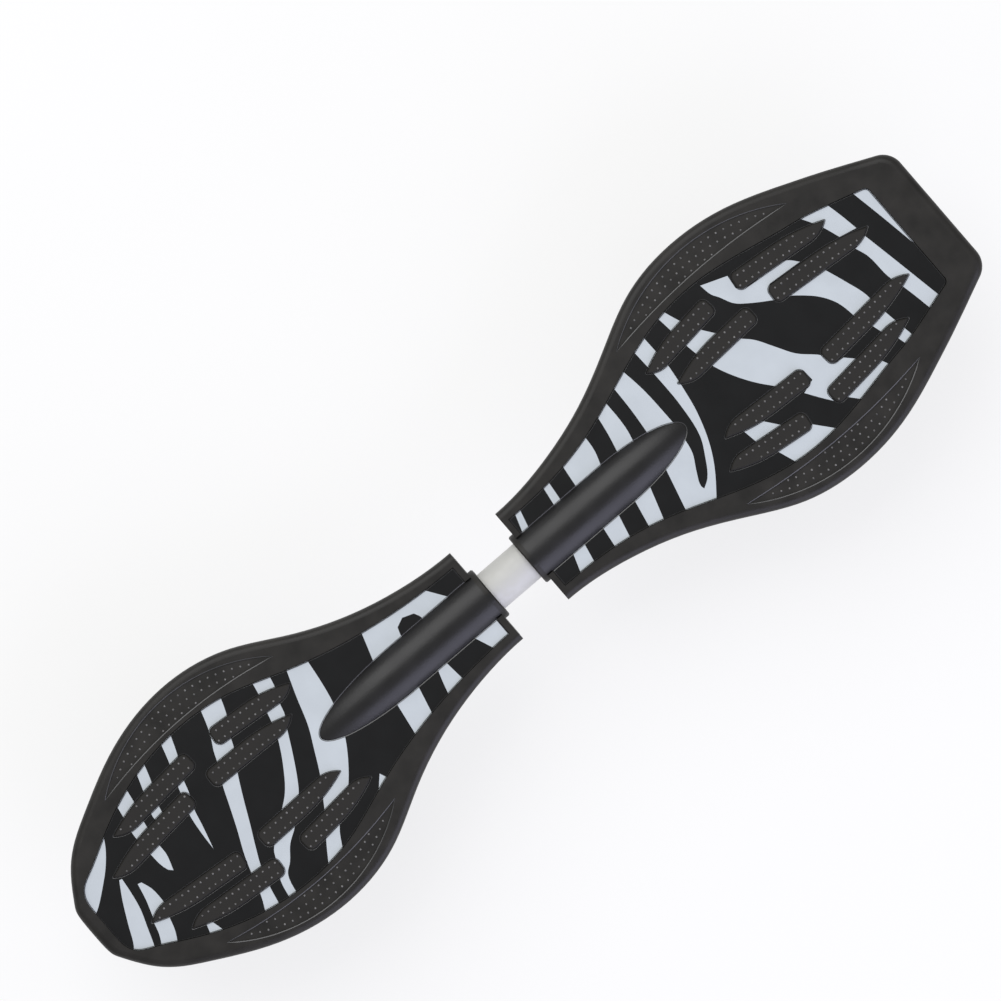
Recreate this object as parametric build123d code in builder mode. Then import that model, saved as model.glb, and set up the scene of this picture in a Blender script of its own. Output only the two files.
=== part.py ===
"""Caster board: two foot decks turning on one torsion tube, each carried by a leaning caster.

X runs from the tail to the nose, Z is up, and the origin is on the floor below the middle.
Each deck is drawn from its neck end outward: a station is the distance from that end.
"""
from build123d import *
import os
from dataclasses import dataclass
from math import atan2, cos, degrees, hypot, radians, sin, sqrt

os.makedirs("parts", exist_ok=True)

# Plan of the board
nose_length = 402.5
tail_length = 416.0
neck_gap = 46.5
nose_half_width = 110.2
tail_half_width = 113.9
tail_tip_corner = 18.0

# Deck mouldings
deck_thickness = 19.0
rim_lip = 1.5
rim_top_round = 6.0
rim_bottom_round = 4.0
nose_kick_run = 40.0
nose_kick_rise = 3.0
nose_lift_run = 34.0
nose_lift_rise = 7.0
tail_kick_run = 38.0
tail_kick_rise = 10.0
tail_lift_run = 44.0
tail_lift_rise = 13.0
panel_thickness = 3.0
panel_gap = 0.4
panel_tail_corner = 5.0
overrun = 10.0

# Grip pads and the dotted side zones
pad_width = 15.0
pad_height = 2.2
pad_heel_round = 5.0
pad_outer_share = 0.45
pad_inner_share = 0.78
pad_edge_round = 1.0
pad_gap = 0.3
side_zone_depth = 0.8

# Underside moulding
cover_thickness = 8.0
cover_inset = 9.0
cover_bevel = 3.0
flute_radius = 18.0
flute_depth = 4.5
slot_length = 12.0
slot_width = 8.0
slot_depth = 3.0
skid_pad_width = 24.0
skid_pad_thickness = 5.0
skid_pad_bevel = 1.5
skid_screw_share = 0.37

# Torsion tube and what turns on it
tube_radius = 17.0
tube_wall = 2.0
tube_depth = 14.0
bush_wall = 3.0
housing_wall = 3.4
spine_straight = 85.0
bush_length = 17.0
bush_end = 92.0
collar_flange = 4.5
collar_sleeve = 25.0
anchor_length = 30.0
anchor_radius = 14.0
rod_width = 12.0
anchor_gap = 3.0
running_fit = 0.05

# Caster geometry
wheel_diameter = 76.0
wheel_width = 24.0
nose_wheel_share = 0.5963
tail_wheel_share = 0.6094
caster_lean = 30.0
caster_trail = 34.0
axle_drop = 44.0
wheel_side_gap = 4.0
leg_thickness = 4.5
leg_end_radius = 10.0
cup_front_height = 14.0
cup_rear = 8.0
crown_thickness = 4.0
window_length = 34.0
window_width = 8.0
play = 0.3

# King bolt and its bearings
king_radius = 6.0
king_head_width = 19.0
king_head_height = 6.5
king_seat_depth = 15.0
king_tip = 1.5
king_washer_radius = 9.0
king_washer = 1.7
king_spacer = 3.2
king_nut_height = 8.0
king_bearing_radius = 14.0
king_bearing_width = 6.25
hub_wall = 3.0
bearing_lip = 1.5
bearing_lip_width = 3.0

# Wheel and axle
core_radius = 20.0
core_inset = 1.0
hub_ring = 2.0
hub_slope = 1.5
bearing_shoulder = 1.2
tyre_shoulder = 28.0
tyre_side_inset = 1.0
wheel_bearing_radius = 11.0
wheel_bearing_width = 7.0
axle_radius = 4.0
axle_head_radius = 6.5
axle_head_height = 4.0
axle_nut_width = 13.0
axle_nut_height = 6.5
axle_washer_radius = 5.5
spacer_wall = 1.6

# Wedge that carries the caster
wedge_height = 25.0
wedge_face_length = 52.0
wedge_face_width = 58.0
wedge_draft = 12.0
wedge_corner = 9.0

# Screws
screw_clearance = 0.1
cover_screw_radius = 2.2
cover_screw_head = 4.2
cover_screw_head_height = 2.6
cover_screw_grip = 11.0
spine_bolt_station = 113.0
spine_bolt_radius = 4.0
spine_bolt_head = 6.5
spine_bolt_head_height = 3.0
spine_bolt_recess = 3.5
socket_share = 0.45
skid_screw_radius = 3.0
skid_screw_head = 6.0
skid_screw_head_height = 2.5
skid_screw_sink = 3.2

# Heights worked out from the floor up
down = Vector(-sin(radians(caster_lean)), 0, -cos(radians(caster_lean)))
rearward = Vector(-cos(radians(caster_lean)), 0, sin(radians(caster_lean)))
wheel_radius = wheel_diameter / 2
hub_top = king_washer + play
bearing_stop = hub_top + 2 * king_bearing_width
cup_floor = bearing_stop + bearing_lip
crown_top = cup_floor - crown_thickness
nut_seat = bearing_stop + play + king_spacer
face_to_axle = cup_floor + axle_drop
face_rise = face_to_axle * cos(radians(caster_lean)) - caster_trail * sin(radians(caster_lean))
rim_bottom = wheel_radius + face_rise + wedge_height
cover_bottom = rim_bottom - cover_thickness
panel_top = rim_bottom + deck_thickness
panel_seat = panel_top - panel_thickness
rim_top = panel_top + rim_lip
tube_height = panel_top - tube_depth
screw_seat = cover_bottom + flute_depth

# Radii and widths that follow from the sizes above
channel_radius = tube_radius + bush_wall
spine_radius = channel_radius + housing_wall
fairing_half_width = sqrt(spine_radius**2 - tube_depth**2)
fork_inner = wheel_width / 2 + wheel_side_gap
fork_outer = fork_inner + leg_thickness
board_length = nose_length + neck_gap + tail_length
bore_end = bush_end + anchor_gap + anchor_length
leg_angle = degrees(atan2(axle_drop, caster_trail))


@dataclass
class Deck:
    """Sizes of one deck. Outline points are shares of its length and half width."""

    name: str
    outward: int
    neck: float
    length: float
    half_width: float
    flank: list
    tip_direction: tuple
    panel_flank: list
    panel_tip_direction: tuple
    corner: tuple
    panel_corner: tuple
    kick_run: float
    kick_rise: float
    lift_run: float
    lift_rise: float
    fairing_tip: float
    spine_run: float
    spine_tip: float
    bore_radius: float
    pads: list
    side_zone: list
    skid_pad: list
    slot: tuple
    screws: list
    flute: list

    def plane(self, height):
        """Horizontal plane with x along the stations."""
        return Plane(origin=(self.neck, 0, height), x_dir=(self.outward, 0, 0), z_dir=(0, 0, 1))

    def side(self, height=0.0):
        """Upright plane through the middle, x along the stations and y up."""
        origin = (self.neck, 0, height)
        return Plane(origin=origin, x_dir=(self.outward, 0, 0), z_dir=(0, -self.outward, 0))

    def across(self, station):
        """Plane square to the tube at a station, facing outward."""
        origin = (self.neck + self.outward * station, 0, tube_height)
        return Plane(origin=origin, x_dir=(0, 1, 0), z_dir=(self.outward, 0, 0))

    def point(self, shares):
        """Point of the plan from its shares of length and half width."""
        return (shares[0] * self.length, shares[1] * self.half_width)


@dataclass
class Caster:
    """Frame of one caster: origin on the wedge face, z down the king bolt, x to the rear."""

    name: str
    wheel_x: float

    @property
    def axle(self):
        return Vector(self.wheel_x, 0, wheel_radius)

    @property
    def face(self):
        return self.axle - rearward * caster_trail - down * face_to_axle

    def level(self, depth):
        """Plane square to the king bolt, a depth below the wedge face."""
        return Plane(origin=self.face + down * depth, x_dir=rearward, z_dir=down)

    def side(self):
        """Plane of the fork's side view, x to the rear and y down the king bolt."""
        return Plane(origin=self.face, x_dir=rearward, z_dir=(0, -1, 0))

    def turning(self):
        """Plane for profiles that are revolved about the axle, x forward and y across."""
        return Plane(origin=self.axle, x_dir=(1, 0, 0), z_dir=(0, 0, 1))

    def beside(self, offset):
        """Plane square to the axle, facing +Y, at a distance from the middle."""
        origin = self.axle + Vector(0, offset, 0)
        return Plane(origin=origin, x_dir=(1, 0, 0), z_dir=(0, -1, 0))


nose = Deck(
    name="nose",
    outward=1,
    neck=board_length / 2 - nose_length,
    length=nose_length,
    half_width=nose_half_width,
    flank=[
        (0.0, 0.397), (0.118, 0.435), (0.230, 0.534), (0.342, 0.706), (0.453, 0.913), (0.602, 1.0),
        (0.752, 0.881), (0.863, 0.683), (0.950, 0.456), (0.990, 0.245), (1.0, 0.0),
    ],
    tip_direction=(0, -1),
    panel_flank=[
        (0.014, 0.304), (0.106, 0.318), (0.205, 0.361), (0.304, 0.434), (0.404, 0.545), (0.503, 0.665),
        (0.602, 0.710), (0.752, 0.635), (0.863, 0.467), (0.926, 0.345), (0.969, 0.127),
    ],
    panel_tip_direction=(0, -1),
    corner=(),
    panel_corner=(),
    kick_run=nose_kick_run,
    kick_rise=nose_kick_rise,
    lift_run=nose_lift_run,
    lift_rise=nose_lift_rise,
    fairing_tip=0.419 * nose_length,
    spine_run=spine_straight,
    spine_tip=0.472 * nose_length,
    bore_radius=anchor_radius,
    pads=[
        ((0.637, 0.490), (0.846, 0.427)),
        ((0.684, 0.283), (0.898, 0.209)),
        ((0.635, 0.281), (0.434, 0.263)),
        ((0.578, 0.495), (0.396, 0.436)),
    ],
    side_zone=[(0.811, 0.662), (0.602, 0.930), (0.389, 0.662), (0.602, 0.749)],
    skid_pad=[(0.348, 0.563), (0.636, 0.762)],
    slot=(0.298, 0.517),
    screws=[(0.189, 0.327), (0.544, 0.163), (0.619, 0.554), (0.870, 0.254)],
    flute=[(0.099, 0.309), (0.621, 0.454)],
)

tail = Deck(
    name="tail",
    outward=-1,
    neck=tail_length - board_length / 2,
    length=tail_length,
    half_width=tail_half_width,
    flank=[
        (0.0, 0.384), (0.135, 0.444), (0.243, 0.562), (0.351, 0.748), (0.459, 0.934), (0.587, 1.0),
        (0.712, 0.932), (0.820, 0.789), (0.928, 0.621),
    ],
    tip_direction=(1, -0.45),
    panel_flank=[
        (0.013, 0.294), (0.123, 0.312), (0.219, 0.378), (0.315, 0.496), (0.411, 0.619), (0.531, 0.692),
        (0.651, 0.650), (0.748, 0.580), (0.844, 0.503),
    ],
    panel_tip_direction=(1, -0.3),
    corner=(1.0, 0.5),
    panel_corner=(0.922, 0.420),
    kick_run=tail_kick_run,
    kick_rise=tail_kick_rise,
    lift_run=tail_lift_run,
    lift_rise=tail_lift_rise,
    fairing_tip=0.375 * tail_length,
    spine_run=0.397 * tail_length,
    spine_tip=0.421 * tail_length,
    bore_radius=tube_radius,
    pads=[
        ((0.558, 0.515), (0.385, 0.439)),
        ((0.608, 0.281), (0.418, 0.246)),
        ((0.618, 0.514), (0.822, 0.439)),
        ((0.656, 0.281), (0.875, 0.215)),
    ],
    side_zone=[(0.370, 0.685), (0.575, 0.922), (0.788, 0.694), (0.575, 0.751)],
    skid_pad=[(0.337, 0.579), (0.615, 0.790)],
    slot=(0.284, 0.483),
    screws=[(0.216, 0.334), (0.666, 0.176), (0.630, 0.527), (0.829, 0.395)],
    flute=[(0.084, 0.299), (0.517, 0.492)],
)

nose_caster = Caster("nose", nose.neck + nose_wheel_share * nose_length)
tail_caster = Caster("tail", tail.neck - tail_wheel_share * tail_length)


def write(builder, name):
    """Label a finished piece and write it under its own name."""
    builder.part.label = name
    export_step(builder.part, f"parts/{name}.step")


def deck_outline(deck, plane, inset=0.0):
    """Plan of a deck on a plane whose x runs along the stations, drawn in at the sides."""
    spread = 1 - inset / deck.half_width
    with BuildSketch(plane) as plan:
        with BuildLine():
            points = [(x, y * spread) for x, y in map(deck.point, deck.flank)]
            side = Spline(*points, tangents=[(1, 0), deck.tip_direction])
            if deck.corner:
                end = deck.point(deck.corner)
                corner = (end[0], end[1] * spread)
                Polyline(side @ 1, corner, (corner[0], 0))
            Line(side @ 0, (0, 0))
            mirror(about=Plane.XZ)
        make_face()
        if deck.corner:
            fillet(plan.vertices().filter_by(lambda v: is_corner(v, corner)), tail_tip_corner)
    return plan.sketch


def is_corner(vertex, corner):
    """True for the corner's vertex and for its mirrored twin."""
    return hypot(vertex.X - corner[0], abs(vertex.Y) - corner[1]) < 0.01


def panel_outline(deck, plane, grow=0.0):
    """Plan of the recessed foot panel on a plane, with its edge moved out a little."""
    with BuildSketch(plane) as plan:
        with BuildLine():
            neck, *rest = [(x, y + grow) for x, y in map(deck.point, deck.panel_flank)]
            neck = (neck[0] - grow, neck[1])
            side = Spline(neck, *rest, tangents=[(1, 0), deck.panel_tip_direction])
            front = side @ 1
            if deck.panel_corner:
                end = deck.point(deck.panel_corner)
                corner = (end[0] + grow, end[1] + grow)
                front = Vector(*corner)
                Line(side @ 1, corner)
            Line(front, (front.X, 0))
            Line(neck, (neck[0], 0))
            mirror(about=Plane.XZ)
        make_face()
        if deck.panel_corner:
            corners = plan.vertices().filter_by(lambda v: is_corner(v, corner))
            fillet(corners, panel_tail_corner)
    return plan.sketch


def fairing_outline(deck, plane, start=0.0, grow=0.0):
    """Plan of the fairing at the panel's top: straight sides, then half an ellipse."""
    with BuildSketch(plane) as plan:
        with BuildLine():
            half = fairing_half_width + grow
            Polyline((start, 0), (start, half), (spine_straight, half))
            EllipticalCenterArc(
                (spine_straight, 0), deck.fairing_tip - spine_straight + grow, half,
                start_angle=0, arc_size=90,
            )
            mirror(about=Plane.XZ)
        make_face()
    return plan.sketch


def bullet_profile(deck, run, tip, depth):
    """Half profile of a round-nosed spine. At a depth below its crest line it ends at the tip."""
    reach = (tip - run) / sqrt(1 - (depth / spine_radius) ** 2)
    with BuildSketch(deck.side(tube_height)) as profile:
        with BuildLine():
            Polyline((run + reach, 0), (0, 0), (0, spine_radius), (run, spine_radius))
            EllipticalCenterArc((run, 0), reach, spine_radius, start_angle=0, arc_size=90)
        make_face()
    return profile.sketch


def pad_outline(deck, plane, grow=0.0):
    """Plans of the eight grip pads: a square heel, a straight inner edge and a swept outer one."""
    with BuildSketch(plane) as plan:
        for heel_shares, tip_shares in deck.pads:
            heel = deck.point(heel_shares)
            tip = deck.point(tip_shares)
            run = hypot(tip[0] - heel[0], tip[1] - heel[1])
            turn = degrees(atan2(tip[1] - heel[1], tip[0] - heel[0]))
            inner = -1 if tip[0] > heel[0] else 1
            with BuildSketch(Plane.XY, mode=Mode.PRIVATE) as pad:
                with BuildLine():
                    half = inner * pad_width / 2
                    far = (pad_outer_share * run, -half)
                    near = (pad_inner_share * run, half)
                    Polyline(far, (0, -half), (0, half), near)
                    TangentArc(near, (run, 0), tangent=(1, 0))
                    TangentArc(far, (run, 0), tangent=(1, 0))
                make_face()
                fillet(pad.vertices().group_by(Axis.X)[0], pad_heel_round)
            with Locations(Location((heel[0], heel[1], 0), (0, 0, 1), turn)):
                add(pad.sketch)
        if grow:
            offset(amount=grow)
        mirror(about=Plane.XZ)
    return plan.sketch


def side_zone_outline(deck, plane):
    """Plans of the two dotted zones on the rim, each between two arcs."""
    ends = [deck.point(shares) for shares in deck.side_zone]
    with BuildSketch(plane) as plan:
        with BuildLine():
            ThreePointArc(ends[0], ends[1], ends[2])
            ThreePointArc(ends[0], ends[3], ends[2])
        make_face()
        mirror(about=Plane.XZ)
    return plan.sketch


def skid_pad_outline(deck, plane):
    """Plans of the two leaf-shaped skid pads."""
    start = Vector(*deck.point(deck.skid_pad[0]))
    end = Vector(*deck.point(deck.skid_pad[1]))
    middle = (start + end) * 0.5
    outward = (end - start).normalized().rotate(Axis.Z, 90) * (skid_pad_width / 2)
    with BuildSketch(plane) as plan:
        with BuildLine():
            ThreePointArc(start, middle + outward, end)
            ThreePointArc(start, middle - outward, end)
        make_face()
        mirror(about=Plane.XZ)
    return plan.sketch


def skid_screw_points(deck):
    """Centres of the skid pads' screws, in the deck's plan."""
    start = Vector(*deck.point(deck.skid_pad[0]))
    end = Vector(*deck.point(deck.skid_pad[1]))
    spot = start + (end - start) * skid_screw_share
    return [(spot.X, spot.Y), (spot.X, -spot.Y)]


def cover_outline(deck, plane):
    """Plan of the underside moulding: the deck's own, drawn in, and cut off before the tip."""
    run = deck.length - deck.lift_run
    with BuildSketch(plane) as plan:
        add(deck_outline(deck, Plane.XY, inset=cover_inset))
        with Locations((run / 2, 0)):
            Rectangle(run, 2 * deck.half_width, mode=Mode.INTERSECT)
    return plan.sketch


def screw_points(deck):
    """Centres of the underside screws, both sides, in the deck's plan."""
    points = [deck.point(shares) for shares in deck.screws]
    return points + [(x, -y) for x, y in points]


def cut_channel(deck):
    """Bore for the tube and its bushes, then the narrower bore behind them."""
    with BuildPart() as channel:
        with BuildSketch(deck.across(-overrun)):
            Circle(channel_radius)
        extrude(amount=bush_end + overrun)
        with BuildSketch(deck.across(bush_end)):
            Circle(deck.bore_radius + running_fit)
        extrude(amount=bore_end - bush_end)
    return channel.part


def make_platform(deck):
    """Upper moulding of a deck: rim, kick, panel recess, side zones and the tube's channel."""
    reach = deck.length + overrun
    with BuildPart() as platform:
        with BuildSketch(deck.side()):
            with BuildLine():
                flat_top = Line((0, rim_top), (deck.length - deck.kick_run, rim_top))
                kick = TangentArc(flat_top @ 1, (reach, rim_top + deck.kick_rise), tangent=(1, 0))
                flat_bottom = Line((0, rim_bottom), (deck.length - deck.lift_run, rim_bottom))
                lift = TangentArc(flat_bottom @ 1, (reach, rim_bottom + deck.lift_rise), tangent=(1, 0))
                Line(kick @ 1, lift @ 1)
                Line(flat_top @ 0, flat_bottom @ 0)
            make_face()
        extrude(amount=deck.half_width + overrun, both=True)
        extrude(deck_outline(deck, deck.plane(0)), amount=2 * rim_top, mode=Mode.INTERSECT)
        rim = platform.edges().filter_by(lambda e: is_rim_edge(e, deck))
        middle = (rim_top + rim_bottom) / 2
        fillet(rim.filter_by(lambda e: e.center().Z > middle), rim_top_round)
        rim = platform.edges().filter_by(lambda e: is_rim_edge(e, deck))
        fillet(rim.filter_by(lambda e: e.center().Z < middle - rim_bottom_round), rim_bottom_round)
        with BuildSketch(deck.plane(panel_seat)):
            add(panel_outline(deck, Plane.XY, panel_gap))
            Rectangle(2 * overrun, 2 * (fairing_half_width + pad_gap))
        extrude(amount=deck_thickness, mode=Mode.SUBTRACT)
        zone_floor = deck.plane(rim_top - side_zone_depth)
        extrude(side_zone_outline(deck, zone_floor), amount=deck_thickness, mode=Mode.SUBTRACT)
        add(cut_channel(deck), mode=Mode.SUBTRACT)
        with BuildSketch(deck.plane(rim_bottom)):
            with Locations(*screw_points(deck)):
                Circle(cover_screw_radius + screw_clearance)
        extrude(amount=cover_screw_grip + screw_clearance, mode=Mode.SUBTRACT)
    write(platform, f"{deck.name}_deck")


def is_rim_edge(edge, deck):
    """True for an edge of the outer rim: not upright, and not straight across the deck."""
    start = edge @ 0
    end = edge @ 1
    upright = hypot(start.X - end.X, start.Y - end.Y) < 0.01
    station = deck.outward * (edge.center().X - deck.neck)
    across = abs(start.X - end.X) < 0.01 and abs(start.Z - end.Z) < 0.01
    return not upright and (not across or station > deck.length - 1)


def make_foot_panel(deck):
    """Flat printed plate in the recess, cut out round the pads and the fairing."""
    with BuildPart() as panel:
        extrude(panel_outline(deck, deck.plane(panel_seat)), amount=panel_thickness)
        slot = fairing_outline(deck, deck.plane(panel_seat), -overrun, pad_gap)
        extrude(slot, amount=panel_thickness, mode=Mode.SUBTRACT)
        holes = pad_outline(deck, deck.plane(panel_seat), pad_gap)
        extrude(holes, amount=panel_thickness, mode=Mode.SUBTRACT)
    write(panel, f"{deck.name}_foot_panel")


def make_grip_pads(deck):
    """Eight rubber pads that stand on the platform and rise through the panel."""
    with BuildPart() as pads:
        extrude(pad_outline(deck, deck.plane(panel_seat)), amount=panel_thickness + pad_height)
        tops = pads.faces().filter_by(Axis.Z).group_by(Axis.Z)[-1]
        chamfer(tops.edges(), pad_edge_round)
    write(pads, f"{deck.name}_grip_pads")


def make_fairing(deck):
    """Bullet-shaped cap over the tube, with upright sides below the panel's top."""
    with BuildPart() as fairing:
        profile = bullet_profile(deck, spine_straight, deck.fairing_tip, tube_depth)
        revolve(profile, axis=Axis((0, 0, tube_height), (1, 0, 0)))
        prism = fairing_outline(deck, deck.plane(panel_seat))
        extrude(prism, amount=deck_thickness, mode=Mode.INTERSECT)
        add(cut_channel(deck), mode=Mode.SUBTRACT)
    write(fairing, f"{deck.name}_fairing")


def make_cover(deck, caster):
    """Underside moulding: plate, half-round spine, caster wedge, flutes and screw recesses."""
    with BuildPart() as cover:
        extrude(cover_outline(deck, deck.plane(cover_bottom)), amount=cover_thickness)
        underside = cover.faces().sort_by(Axis.Z)[0]
        chamfer(underside.edges().filter_by(lambda e: not is_neck_edge(e, deck)), cover_bevel)
        add(flute_cutters(deck), mode=Mode.SUBTRACT)
        depth = tube_height - cover_bottom
        profile = bullet_profile(deck, deck.spine_run, deck.spine_tip, depth)
        revolve(profile, axis=Axis((0, 0, tube_height), (1, 0, 0)))
        split(bisect_by=Plane.XY.offset(rim_bottom), keep=Keep.BOTTOM)
        with BuildSketch(Plane.XY.offset(rim_bottom)):
            with Locations((caster.face.X + wedge_draft / 2, 0)):
                length = wedge_face_length + 2 * wedge_draft
                RectangleRounded(length, wedge_face_width + 2 * wedge_draft, wedge_corner)
        cap = Plane(origin=caster.face, x_dir=-rearward, z_dir=-down)
        with BuildSketch(cap):
            RectangleRounded(wedge_face_length, wedge_face_width, wedge_corner)
        loft(ruled=True)
        add(cut_channel(deck), mode=Mode.SUBTRACT)
        with BuildSketch(caster.level(0)):
            Circle(king_radius + screw_clearance)
        extrude(amount=-king_seat_depth, mode=Mode.SUBTRACT)
        with BuildSketch(caster.level(-king_seat_depth)):
            RegularPolygon(king_head_width / 2 + play, 6, major_radius=False)
        extrude(amount=-2 * wedge_height, mode=Mode.SUBTRACT)
        with BuildSketch(deck.plane(cover_bottom)):
            with Locations(*screw_points(deck)):
                Circle(cover_screw_head + play)
        extrude(amount=screw_seat - cover_bottom, mode=Mode.SUBTRACT)
        with BuildSketch(deck.plane(cover_bottom)):
            with Locations(*screw_points(deck)):
                Circle(cover_screw_radius + screw_clearance)
            with Locations(*skid_screw_points(deck)):
                Circle(skid_screw_radius + screw_clearance)
        extrude(amount=cover_thickness, mode=Mode.SUBTRACT)
        with BuildSketch(deck.plane(cover_bottom)):
            slot = deck.point(deck.slot)
            with Locations(slot, (slot[0], -slot[1])):
                Rectangle(slot_length, slot_width)
        extrude(amount=slot_depth, mode=Mode.SUBTRACT)
        with BuildSketch(deck.plane(tube_height - spine_radius)):
            with Locations((spine_bolt_station, 0)):
                Circle(spine_bolt_head + play)
        extrude(amount=spine_bolt_recess, mode=Mode.SUBTRACT)
        with BuildSketch(deck.plane(tube_height - spine_radius)):
            with Locations((spine_bolt_station, 0)):
                Circle(spine_bolt_radius + screw_clearance)
        extrude(amount=spine_radius, mode=Mode.SUBTRACT)
    write(cover, f"{deck.name}_bottom_cover")


def is_neck_edge(edge, deck):
    """True for an edge that lies in the neck end's plane."""
    return abs((edge @ 0).X - deck.neck) + abs((edge @ 1).X - deck.neck) < 0.01


def flute_cutters(deck):
    """Two slender spindles that hollow the underside beside the spine."""
    start = Vector(*deck.point(deck.flute[0]))
    end = Vector(*deck.point(deck.flute[1]))
    half_run = (end - start).length / 2
    across = (end - start).normalized()
    middle = (start + end) * 0.5
    x_dir = Vector(deck.outward * across.X, across.Y, 0)
    height = cover_bottom - flute_radius + flute_depth
    origin = Vector(deck.neck + deck.outward * middle.X, middle.Y, height)
    with BuildPart() as cutters:
        with BuildSketch(Plane(origin=origin, x_dir=x_dir, z_dir=(-x_dir.Y, x_dir.X, 0))):
            with BuildLine():
                ThreePointArc((-half_run, 0), (0, flute_radius), (half_run, 0))
                Line((half_run, 0), (-half_run, 0))
            make_face()
        revolve(axis=Axis(origin, x_dir))
        mirror(about=Plane.XZ)
    return cutters.part


def make_skid_pads(deck):
    """Two leaf-shaped wear plates under the deck, with bevelled edges and sunk screws."""
    floor = cover_bottom - skid_pad_thickness
    with BuildPart() as pads:
        extrude(skid_pad_outline(deck, deck.plane(floor)), amount=skid_pad_thickness)
        chamfer(pads.faces().group_by(Axis.Z)[0].edges(), skid_pad_bevel)
        with BuildSketch(deck.plane(floor)):
            with Locations(*skid_screw_points(deck)):
                Circle(skid_screw_head + play)
        extrude(amount=skid_screw_sink, mode=Mode.SUBTRACT)
        with BuildSketch(deck.plane(floor)):
            with Locations(*skid_screw_points(deck)):
                Circle(skid_screw_radius + screw_clearance)
        extrude(amount=skid_pad_thickness, mode=Mode.SUBTRACT)
    write(pads, f"{deck.name}_skid_pads")


def make_screws(deck, points, seat, head, head_height, shank, grip, name):
    """A set of alike screws, heads down, each with a hexagon socket."""
    with BuildPart() as screws:
        with BuildSketch(deck.plane(seat)):
            with Locations(*points):
                Circle(head)
        extrude(amount=-head_height)
        with BuildSketch(deck.plane(seat - head_height)):
            with Locations(*points):
                RegularPolygon(head * socket_share, 6, major_radius=False)
        extrude(amount=head_height * socket_share, mode=Mode.SUBTRACT)
        with BuildSketch(deck.plane(seat)):
            with Locations(*points):
                Circle(shank)
        extrude(amount=grip)
    write(screws, f"{deck.name}_{name}")


def make_collar(deck):
    """Flanged sleeve that closes the neck end round the tube."""
    with BuildPart() as collar:
        with BuildSketch(deck.across(-collar_flange)):
            Circle(spine_radius - pad_gap)
            Circle(tube_radius + running_fit, mode=Mode.SUBTRACT)
        extrude(amount=collar_flange)
        outer_rim = collar.edges().filter_by(GeomType.CIRCLE).sort_by(Axis.X)
        face_ring = outer_rim[0:2] if deck.outward > 0 else outer_rim[-2:]
        chamfer(face_ring.sort_by(SortBy.RADIUS)[-1], pad_edge_round)
        with BuildSketch(deck.across(0)):
            Circle(channel_radius - running_fit)
            Circle(tube_radius + running_fit, mode=Mode.SUBTRACT)
        extrude(amount=collar_sleeve)
    write(collar, f"{deck.name}_collar")


def make_inner_bush(deck):
    """Second bush, deep in the channel, that carries the tube's other end."""
    with BuildPart() as bush:
        with BuildSketch(deck.across(bush_end - bush_length)):
            Circle(channel_radius - running_fit)
            Circle(tube_radius + running_fit, mode=Mode.SUBTRACT)
        extrude(amount=bush_length)
    write(bush, f"{deck.name}_inner_bush")


def make_anchor(deck, radius):
    """Plug with a square hole that holds one end of the torsion rod."""
    start = bush_end + anchor_gap
    with BuildPart() as anchor:
        with BuildSketch(deck.across(start)):
            Circle(radius)
            Rectangle(rod_width + 2 * running_fit, rod_width + 2 * running_fit, mode=Mode.SUBTRACT)
        extrude(amount=anchor_length)
        with BuildSketch(deck.plane(tube_height - spine_radius)):
            with Locations((spine_bolt_station, 0)):
                Circle(spine_bolt_radius + screw_clearance)
        extrude(amount=spine_radius, mode=Mode.SUBTRACT)
    write(anchor, f"{deck.name}_rod_anchor")


def make_torsion_tube():
    """Aluminium tube: clamped in the tail deck, turning in the nose deck's bushes."""
    tail_end = tail.neck - bore_end
    with BuildPart() as tube:
        with BuildSketch(Plane(origin=(tail_end, 0, tube_height), z_dir=(1, 0, 0))):
            Circle(tube_radius)
            Circle(tube_radius - tube_wall, mode=Mode.SUBTRACT)
        extrude(amount=nose.neck + bush_end - tail_end)
        with BuildSketch(tail.plane(tube_height - spine_radius)):
            with Locations((spine_bolt_station, 0)):
                Circle(spine_bolt_radius + screw_clearance)
        extrude(amount=spine_radius, mode=Mode.SUBTRACT)
    write(tube, "torsion_tube")


def make_torsion_rod():
    """Square spring-steel rod from one anchor to the other."""
    tail_end = tail.neck - bore_end
    nose_end = nose.neck + bore_end
    with BuildPart() as rod:
        with BuildSketch(Plane(origin=(tail_end, 0, tube_height), x_dir=(0, 1, 0), z_dir=(1, 0, 0))):
            Rectangle(rod_width, rod_width)
        extrude(amount=nose_end - tail_end)
    write(rod, "torsion_rod")


def make_king_set(caster):
    """King bolt held in the wedge, its washer above the fork, its spacer and its nut."""
    with BuildPart() as bolt:
        with BuildSketch(caster.level(-king_seat_depth - king_head_height)):
            RegularPolygon(king_head_width / 2, 6, major_radius=False)
        extrude(amount=king_head_height)
        with BuildSketch(caster.level(-king_seat_depth)):
            Circle(king_radius)
        extrude(amount=king_seat_depth + nut_seat + king_nut_height + king_tip)
    write(bolt, f"{caster.name}_king_bolt")

    with BuildPart() as washers:
        for start, thickness in ((0, king_washer), (nut_seat - king_spacer, king_spacer)):
            with BuildSketch(caster.level(start)):
                Circle(king_washer_radius)
                Circle(king_radius + screw_clearance, mode=Mode.SUBTRACT)
            extrude(amount=thickness)
    write(washers, f"{caster.name}_king_washers")

    with BuildPart() as nut:
        with BuildSketch(caster.level(nut_seat)):
            RegularPolygon(king_head_width / 2, 6, major_radius=False)
            Circle(king_radius + running_fit, mode=Mode.SUBTRACT)
        extrude(amount=king_nut_height)
    write(nut, f"{caster.name}_king_nut")


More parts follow.
